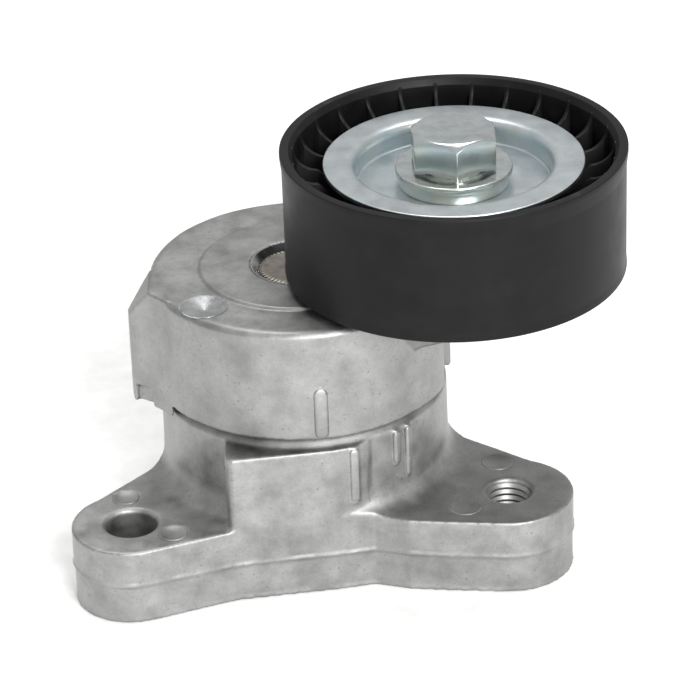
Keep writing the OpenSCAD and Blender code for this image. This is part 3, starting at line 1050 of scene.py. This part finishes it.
@dataclass
class ArmCasting:
    """The swinging arm and the knurled end of its shaft.

    Attributes:
        grid: Mesh size of the casting.
        passes: Smoothing passes that round its edges.
        knurl_in: Radius at the roots of the knurl.
        knurl_out: Radius at its crests.
        teeth: Number of teeth.
        deep: Height of the knurled band.
        drum_r: Radius of the drum.
        top: Height of the drum's flat top.
        step_r: Radius of the raised middle.
        step_w: Width of its slope.
        step: Its height.
        bore_in: Radius of the shaft's hole.
        bore_out: Outer radius of the bevel round it.
        dot: Place of the turned centre mark.
        dot_r: Its radius.
        dot_deep: Its depth.
        sunk: How far the casting stays under a machined piece that covers it.
        proud: How far the shaft's toothed end stands above the CAD shaft.
        bead: Angle, wall radius, width, lowest and highest point, and height of the front bead.
    """

    grid: float = 0.4
    passes: int = 4
    knurl_in: float = 7.95
    knurl_out: float = 8.55
    teeth: int = 54
    deep: float = 1.2
    drum_r: float = 31.9
    top: float = 61.9
    step_r: float = 21.3
    step_w: float = 0.6
    step: float = 0.6
    bore_in: float = 8.5
    bore_out: float = 10.1
    dot: Point = (-19.92, -17.93)
    dot_r: float = 4.8
    dot_deep: float = 1.1
    sunk: float = 0.35
    proud: float = 0.8
    bead: tuple[float, ...] = (-83.2, 31.9, 3.0, 36.9, 48.8, 0.4)

    def uneven(self, places: np.ndarray, normals: np.ndarray) -> np.ndarray:
        """Skin of the casting: shallow waves, a true side wall and a crisp step on top.

        Args:
            places: Vertex places, in metres.
            normals: Vertex normals.

        Returns:
            New places.
        """
        x, y, z = (places / MM).T
        far = np.maximum(np.hypot(x, y), 0.01)
        rise = 0.05 * cloudy(places, 10, 11) + 0.03 * cloudy(places, 2.5, 12)
        moved = places + normals * rise[:, None] * MM
        wall = self.drum_r + 0.04 * cloudy(places, 9, 13)
        snap = np.clip((0.3 - abs(far - self.drum_r)) / 0.2, 0, 1)
        snap = (snap * np.clip((0.6 - abs(normals[:, 2])) / 0.3, 0, 1))[:, None]
        moved[:, :2] += snap * (places[:, :2] * (wall / far)[:, None] - moved[:, :2])
        edge = np.clip((self.step_r - far) / self.step_w + 0.5, 0, 1)
        level = self.top + self.step * edge + 0.02 * cloudy(places, 6, 14)
        flat = (far < self.step_r + 2.5) & (far > self.bore_out) & (abs(z - level) < 0.55)
        moved[:, 2] = np.where(flat & (normals[:, 2] > 0.3), level * MM, moved[:, 2])
        bore = (far < self.bore_out + 0.3) & (z > self.top - 3)
        moved[:, 2] = np.where(bore, np.minimum(z - self.sunk, self.top) * MM, moved[:, 2])
        dot = np.hypot(x - self.dot[0], y - self.dot[1])
        sunk = (dot < self.dot_r - 0.1) & (abs(z - self.top) < 1.5)
        cone = self.top - self.sunk - self.dot_deep * np.clip(1 - dot / self.dot_r, 0, 1)
        moved[:, 2] = np.where(sunk, cone * MM, moved[:, 2])
        return moved

    def machined(self) -> bpy.types.Object:
        """Bevel round the shaft and the centre mark, both freshly cut."""
        made = bmesh.new()
        crown = self.top + self.step
        outline: list[Corner] = [
            (self.bore_out + 0.25, crown + 0.03, 0.05),
            (self.bore_out, crown, 0.05),
            (self.bore_in, crown - 1.6, 0.1),
            (self.bore_in, crown - 2.4, 0),
            (self.bore_out + 0.25, crown - 2.4, 0),
        ]
        lathe(made, rounded(outline), (0.0, 0.0))
        outline = [
            (0.0, self.top - self.dot_deep, 0),
            (0.5, self.top - self.dot_deep, 0.1),
            (self.dot_r - 0.1, self.top - 0.02, 0.05),
            (self.dot_r + 0.15, self.top + 0.04, 0.05),
            (self.dot_r + 0.15, self.top - 0.3, 0),
            (0.0, self.top - self.dot_deep - 0.2, 0),
        ]
        lathe(made, rounded(outline), self.dot, 96)
        return to_piece(made, "machined_faces", 30)

    def profile(self) -> list[Point]:
        """Offset from the knurl's roots and drop of each ring of the shaft's end."""
        return [
            (-self.knurl_in, 0.0),
            (-0.9, 0.0),
            (-0.45, -0.02),
            (0.0, -0.25),
            (0.0, -self.deep),
        ]

    def knurl(self, top: float) -> bpy.types.Object:
        """Toothed end face of the pivot shaft.

        Args:
            top: Height of the shaft's end, in millimetres.

        Returns:
            The end face with its teeth.
        """
        made = bmesh.new()
        count = self.teeth * 4
        reach = [self.knurl_in, self.knurl_out, self.knurl_out, self.knurl_in]
        sections = []
        for inset, drop in self.profile():
            ring = []
            for k in range(count):
                a = 2 * math.pi * k / count
                edge = reach[k % 4] if inset == 0.0 else self.knurl_in
                r = max(edge + inset, 0.0)
                ring.append(Vector((r * math.cos(a) * MM, r * math.sin(a) * MM, (top + drop) * MM)))
            sections.append(ring)
        rings = [[made.verts.new(p) for p in ring] for ring in sections]
        for one, two in zip(rings, rings[1:]):
            for j in range(count):
                i = (j + 1) % count
                made.faces.new((one[j], one[i], two[i], two[j]))
        made.faces.new(rings[-1][::-1])
        return to_piece(made, "pivot_shaft_knurl", 40)

    def build(self, nodes: dict[str, bpy.types.Object]) -> None:
        """Build the casting and the end of its shaft.

        Args:
            nodes: CAD nodes by name.
        """
        made = casting(nodes["tensioner_arm"], "arm_casting", self.grid, self.passes, self.uneven)
        place(made, Body.ARM, "cast_arm", CAST_ARM, "tensioner_arm")
        place(self.machined(), Body.ARM, "cast_arm", CUT_ALUMINIUM)
        top = heights("pivot_shaft")[1]
        place(self.knurl(top + self.proud), Body.ARM, "shaft_steel", SHAFT_STEEL)
        front = bmesh.new()
        bar(front, self.bead)
        place(to_piece(front, "arm_front_bead", 60), Body.ARM, "cast_arm", CAST_ARM)


# ---------------------------------------------------------------- pulley


@dataclass
class IdlerPulley:
    """The moulded pulley: a ribbed wheel with thin lips.

    Attributes:
        belt_r: Radius of the belt face.
        lip: How far the lips stand out.
        lip_h: Height of a lip.
        fade: Height over which the upper lip runs out into the belt face.
        wall: Thickness of the rim.
        bevel: Width and depth of the bevel inside the rim.
        hub_in: Inner radius of the hub.
        hub_out: Outer radius of the hub.
        web: Thickness of the disc between hub and rim.
        ribs: Number of ribs.
        first_rib: Angle of the first rib, in degrees.
        rib_low: Thickness of a rib at its foot.
        rib_high: Thickness of a rib at its crest.
        crest_gap: How far the crests stay under the rim's edge.
        hollow: Radius of the quarter round that the crests run down in.
    """

    belt_r: float = 36.0
    lip: float = 0.35
    lip_h: float = 2.0
    fade: float = 4.0
    wall: float = 2.4
    bevel: tuple[float, float] = (0.9, 1.4)
    hub_in: float = 20.0
    hub_out: float = 23.4
    web: float = 3.0
    ribs: int = 27
    first_rib: float = 94.2
    rib_low: float = 1.5
    rib_high: float = 0.95
    crest_gap: float = 0.9
    hollow: float = 5.0

    def wheel(
        self, axis: Point, low: float, high: float, bearing: tuple[float, float]
    ) -> bpy.types.Object:
        """Rim, disc and hub, turned round the axis.

        Args:
            axis: Plan centre.
            low: Lowest height of the rim.
            high: Highest height of the rim.
            bearing: Lowest and highest height of the bearing.

        Returns:
            The wheel.
        """
        inner = self.belt_r - self.wall
        outer = self.belt_r + self.lip
        across, down = self.bevel
        middle = sum(bearing) / 2
        top, foot = middle + self.web / 2, middle - self.web / 2
        corners: list[Corner] = [
            (inner + across, low, 0.3),
            (self.belt_r + self.lip / 2, low, 0.45),
            (self.belt_r, low + self.lip_h, 2.0),
            (self.belt_r, high - self.fade, 2.0),
            (outer, high - self.lip_h / 2, 0.6),
            (outer, high, 0.3),
            (inner + across, high, 0.3),
            (inner, high - down, 0.4),
            (inner, top, 1.0),
            (self.hub_out, top, 1.0),
            (self.hub_out, bearing[1], 0.4),
            (self.hub_in, bearing[1], 0.2),
            (self.hub_in, bearing[0], 0.2),
            (self.hub_out, bearing[0], 0.4),
            (self.hub_out, foot, 1.0),
            (inner, foot, 1.0),
            (inner, low + down, 0.4),
        ]
        made = bmesh.new()
        lathe(made, rounded(corners), axis, 256)
        return to_piece(made, "pulley_wheel", 30)

    def crest(self, r: float, edge: float, hub: float) -> float:
        """Height of a rib's crest.

        Args:
            r: Distance from the axis, in millimetres.
            edge: Height of the rim's edge.
            hub: Height of the crest at the hub.

        Returns:
            The height, in millimetres.
        """
        start = self.belt_r - self.wall - self.hollow
        top = edge - self.crest_gap
        if r > start:
            return top - math.sqrt(max(self.hollow**2 - (r - start) ** 2, 0.0))
        share = (r - self.hub_out) / (start - self.hub_out)
        return hub + (top - self.hollow - hub) * max(share, 0.0)

    def ribbing(
        self, axis: Point, low: float, high: float, bearing: tuple[float, float]
    ) -> bpy.types.Object:
        """All the ribs, above and below the disc.

        Args:
            axis: Plan centre.
            low: Lowest height of the rim.
            high: Highest height of the rim.
            bearing: Lowest and highest height of the bearing.

        Returns:
            The ribs as one piece.
        """
        made = bmesh.new()
        middle = sum(bearing) / 2
        wall = self.belt_r - self.wall
        tilt = np.sin(np.linspace(0, np.pi / 2, 14)) * self.hollow + wall - self.hollow
        radii = [self.hub_out - 0.5, self.hub_out + 1.5, *tilt, wall + 0.4]
        for k in range(self.ribs):
            turn = Matrix.Rotation(math.radians(self.first_rib + 360 * k / self.ribs), 4, "Z")
            for way in (1, -1):
                sections = []
                for r in radii:
                    top = self.crest(r, high, bearing[1] - 0.4)
                    tall = top - middle if way > 0 else middle - (low + high - top)
                    slope, thin = self.rib_low / 2, self.rib_high / 2
                    across = [
                        (-slope, 0.4),
                        (-thin, tall - 0.35),
                        (-thin * 0.75, tall - 0.12),
                        (0, tall),
                        (thin * 0.75, tall - 0.12),
                        (thin, tall - 0.35),
                        (slope, 0.4),
                    ]
                    section = [
                        turn @ Vector((r * MM, u * MM, 0)) + Vector((0, 0, (middle + way * v) * MM))
                        for u, v in across
                    ]
                    sections.append(section)
                loft(made, sections)
        shift = Matrix.Translation((axis[0] * MM, axis[1] * MM, 0))
        bmesh.ops.transform(made, matrix=shift, verts=made.verts)
        return to_piece(made, "pulley_ribs", 40)

    def build(self) -> None:
        """Build the wheel and its ribs."""
        axis = centre_of("pulley_shell")
        low, high = heights("pulley_shell")
        bearing = heights("bearing_outer_ring")
        wheel = self.wheel(axis, low, high, bearing)
        place(wheel, Body.PULLEY, "pulley_polymer", NYLON, "pulley_shell")
        place(self.ribbing(axis, low, high, bearing), Body.PULLEY, "pulley_polymer", NYLON)


# ---------------------------------------------------------------- bolt stack


@dataclass
class BoltStack:
    """Dust shield, collar, washer and hexagon bolt on the pulley axis.

    Attributes:
        shield_r: Radius of the shield.
        shield_t: Thickness of its sheet.
        step_r: Inner radius of its step.
        roll: Radius of the rolled edge of the step.
        dish: Depth of the step.
        bore_r: Radius of its hole.
        collar_r: Radius of the collar.
        washer_r: Radius of the washer.
        flats: Width of the hexagon across its flats.
        corner: Angle of one corner of the hexagon, in degrees.
        bolt_r: Radius of the shank.
        top_r: Radius of the flat on top of the head.
        seat_r: Radius of the round seat under the head.
        seat_h: Height of that seat.
        edge: Width of the blunting of the head's upright corners.
        fall: Drop of the head's top chamfer for each millimetre outwards.
        arch: Rise of the hollow edge under each flat.
    """

    shield_r: float = 27.4
    shield_t: float = 1.0
    step_r: float = 20.4
    roll: float = 2.4
    dish: float = 5.1
    bore_r: float = 8.5
    collar_r: float = 11.6
    washer_r: float = 12.3
    flats: float = 17.0
    corner: float = -88.0
    bolt_r: float = 5.0
    top_r: float = 8.2
    seat_r: float = 7.9
    seat_h: float = 0.9
    edge: float = 0.07
    fall: float = 0.95
    arch: float = 0.6

    def shield(self, axis: Point, top: float) -> bpy.types.Object:
        """Pressed shield with a rolled step.

        Args:
            axis: Plan centre.
            top: Height of its rim.

        Returns:
            The shield.
        """
        floor, sheet = top - self.dish, self.shield_t
        corners: list[Corner] = [
            (self.bore_r, floor, 0.15),
            (self.step_r, floor, 0.55),
            (self.step_r, top, self.roll),
            (self.shield_r, top, 0.35),
            (self.shield_r, top - sheet, 0.25),
            (self.step_r + sheet, top - sheet, self.roll - sheet),
            (self.step_r + sheet, floor - sheet, 1.2),
            (self.bore_r, floor - sheet, 0.15),
        ]
        made = bmesh.new()
        lathe(made, rounded(corners, 10), axis, 256)
        return to_piece(made, "dust_shield_pressing", 30)

    def turned(self, name: str, axis: Point, corners: Sequence[Corner]) -> bpy.types.Object:
        """A turned piece.

        Args:
            name: Name of the piece.
            axis: Plan centre.
            corners: Its section.

        Returns:
            The piece.
        """
        made = bmesh.new()
        lathe(made, rounded(corners), axis)
        return to_piece(made, name, 30)

    def head(self, axis: Point, low: float, high: float) -> bpy.types.Object:
        """Forged hexagon head, chamfered on top and hollow-edged below.

        Args:
            axis: Plan centre.
            low: Height of its seat.
            high: Height of its top.

        Returns:
            The head.
        """
        half = self.flats / 2
        corner_r = half / math.cos(math.pi / 6)
        steps = [0, 0.4, 0.9, 1.6, 2.6, 4.5, 8, 12, 17, 22, 26, 30]
        turns = sorted({t for d in steps for t in (d, -d)})[:-1]
        sections: list[list[Vector]] = [[] for _ in range(9)]
        for k in range(6):
            for turn in turns:
                away = math.radians(30 - abs(turn))
                reach = half / math.cos(away)
                reach = min(reach, corner_r - self.edge)
                drop = self.fall * (reach - self.top_r)
                rise = self.arch * (corner_r - reach)
                a = math.radians(self.corner + 60 * k + turn)
                for section, (r, z) in zip(
                    sections,
                    [
                        (self.top_r * 0.5, high),
                        (self.top_r - 0.25, high),
                        (self.top_r, high - 0.08),
                        (reach - 0.05, high - drop + 0.03),
                        (reach, high - drop - 0.04),
                        (reach, low + 0.35 + rise),
                        (self.seat_r, low + self.seat_h),
                        (self.seat_r - 0.2, low),
                        (self.seat_r * 0.5, low),
                    ],
                ):
                    spot = (axis[0] + r * math.cos(a), axis[1] + r * math.sin(a), z)
                    section.append(Vector(spot) * MM)
        made = bmesh.new()
        loft(made, sections)
        return to_piece(made, "bolt_head", 26)

    def build(self) -> None:
        """Build the shield, the collar, the washer and the bolt."""
        axis = centre_of("bolt_washer")
        top = heights("dust_shield")[1]
        boss, collar_top = heights("centre_bushing")
        washer_low, washer_top = heights("bolt_washer")
        tip, head_top = heights("pulley_bolt")
        place(self.shield(axis, top), Body.ARM, "zinc_shield", ZINC_SHIELD, "dust_shield")
        floor = top - self.dish
        hole = self.bolt_r + 0.1
        collar = self.turned(
            "shield_collar",
            axis,
            [
                (hole, boss, 0.2),
                (self.bore_r, boss, 0.2),
                (self.bore_r, floor, 0),
                (self.collar_r, floor, 0.25),
                (self.collar_r, collar_top, 0.3),
                (hole, collar_top, 0),
            ],
        )
        place(collar, Body.ARM, "zinc_steel", ZINC_STEEL, "centre_bushing")
        washer = self.turned(
            "bolt_washer_rounded",
            axis,
            [
                (hole, washer_low, 0.1),
                (self.washer_r, washer_low, 0.35),
                (self.washer_r, washer_top, 0.45),
                (hole, washer_top, 0.1),
            ],
        )
        place(washer, Body.ARM, "zinc_steel", ZINC_STEEL, "bolt_washer")
        head = self.head(axis, washer_top, head_top)
        place(head, Body.ARM, "zinc_steel", ZINC_STEEL, "pulley_bolt")
        shank = self.turned(
            "bolt_shank",
            axis,
            [
                (0, tip, 0),
                (self.bolt_r - 0.8, tip, 0.1),
                (self.bolt_r, tip + 1, 0.1),
                (self.bolt_r, washer_top + 0.2, 0),
                (0, washer_top + 0.2, 0),
            ],
        )
        place(shank, Body.ARM, "zinc_steel", ZINC_STEEL)


# ---------------------------------------------------------------- pieces kept from the CAD


@dataclass
class InnerWorks:
    """The pieces that keep their CAD shape, each with its finish."""

    finishes: tuple[tuple[str, Finish], ...] = (
        ("pivot_bushing", BUSHING_ACETAL),
        ("lower_thrust_washer", THRUST_STEEL),
        ("damping_sleeve", DAMPING_NYLON),
        ("damper_band", SPRING_BAND),
        ("lower_spring_seat", DAMPING_NYLON),
        ("torsion_spring", SPRING_WIRE),
        ("upper_spring_seat", DAMPING_NYLON),
        ("upper_thrust_washer", THRUST_STEEL),
        ("pivot_shaft", SHAFT_STEEL),
        ("retaining_disc", THRUST_STEEL),
        ("stop_bumper", BUMPER_RUBBER),
        ("lower_dust_shield", ZINC_SHIELD),
        ("lower_spacer", BEARING_STEEL),
        ("bearing_inner_ring", BEARING_STEEL),
        ("bearing_balls", BEARING_STEEL),
        ("bearing_cage", CAGE_NYLON),
        ("bearing_outer_ring", BEARING_STEEL),
        ("lower_seal", SEAL_RUBBER),
        ("upper_seal", SEAL_RUBBER),
        ("upper_spacer", BEARING_STEEL),
    )

    def build(self, nodes: dict[str, bpy.types.Object]) -> None:
        """Dress every CAD node that stays.

        Args:
            nodes: CAD nodes by name.
        """
        for name, finish in self.finishes:
            finish.dress(nodes[name])
            LOG.info("%s: kept from the CAD, %s", name, finish.name)


# ---------------------------------------------------------------- studio


@dataclass
class Studio:
    """Floor, lights, background and camera.

    Attributes:
        eye: Place of the camera, in millimetres.
        right: The camera's own right.
        up: The camera's own up.
        lens: Focal length on a 36 mm sensor.
        sky: Brightness of the background.
    """

    eye: tuple[float, float, float] = (10.22, -665.1, 397.5)
    right: tuple[float, float, float] = (0.99931, -0.01757, -0.03276)
    up: tuple[float, float, float] = (0.03717, 0.47237, 0.88061)
    lens: float = 179.49
    sky: float = 0.62

    def floor(self) -> None:
        """Wide pale floor under the base."""
        made = bmesh.new()
        bmesh.ops.create_grid(made, x_segments=24, y_segments=24, size=4.0)
        plane = to_piece(made, "studio_floor")
        plane.location.z = -0.0002
        FLOOR_PAINT.dress(plane)

    def lamp(
        self, name: str, spot: tuple[float, float, float], aim: tuple[float, float, float],
        size: tuple[float, float], power: float,
    ) -> None:
        """Soft rectangular light.

        Args:
            name: Name of the light.
            spot: Its place, in metres.
            aim: Point that it faces, in metres.
            size: Its width and height, in metres.
            power: Its power, in watts.
        """
        data = bpy.data.lights.new(name, "AREA")
        data.shape = "RECTANGLE"
        data.size, data.size_y = size
        data.energy = power
        light = bpy.data.objects.new(name, data)
        light.location = spot
        toward = Vector(aim) - Vector(spot)
        light.rotation_euler = toward.to_track_quat("-Z", "Y").to_euler()
        bpy.context.scene.collection.objects.link(light)

    def background(self) -> None:
        """Plain grey-white surroundings."""
        world = bpy.data.worlds.new("studio")
        world.use_nodes = True
        tree = world.node_tree
        tree.nodes.clear()
        shade = add(
            tree,
            "ShaderNodeBackground",
            {"Color": (1.0, 1.0, 1.0, 1.0), "Strength": self.sky},
        )
        add(tree, "ShaderNodeOutputWorld", {"Surface": shade.outputs["Background"]})
        bpy.context.scene.world = world

    def camera(self) -> None:
        """Camera at the object's usual three-quarter view."""
        data = bpy.data.cameras.new("studio_camera")
        data.sensor_width = 36
        data.lens = self.lens
        data.clip_start, data.clip_end = 0.01, 20
        right, up = Vector(self.right), Vector(self.up)
        back = right.cross(up)
        turn = Matrix((right, up, back)).transposed().to_4x4()
        camera = bpy.data.objects.new("studio_camera", data)
        camera.matrix_world = Matrix.Translation(Vector(self.eye) * MM) @ turn
        bpy.context.scene.collection.objects.link(camera)
        bpy.context.scene.camera = camera

    def build(self) -> None:
        """Set up the whole studio."""
        self.floor()
        self.background()
        self.lamp("key", (0.42, -0.95, 0.75), (0.0, 0.0, 0.03), (0.55, 0.5), 14)
        self.lamp("front", (0.1, -1.3, 0.25), (0.0, 0.0, 0.04), (0.7, 0.4), 5)
        self.lamp("top", (0.1, 0.3, 1.3), (0.0, 0.0, 0.03), (0.9, 0.6), 9)
        self.camera()
        bpy.context.scene.view_settings.view_transform = "Standard"


def main() -> None:
    """Build every sub-assembly in order, then the studio; each placed piece logs its vertex count."""
    logging.basicConfig(level=logging.INFO, format="%(name)s: %(message)s")
    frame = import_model()
    nodes = frame["nodes"]
    BaseCasting().build(nodes)
    ArmCasting().build(nodes)
    IdlerPulley().build()
    BoltStack().build()
    InnerWorks().build(nodes)
    Studio().build()


if __name__ == "__main__":
    main()
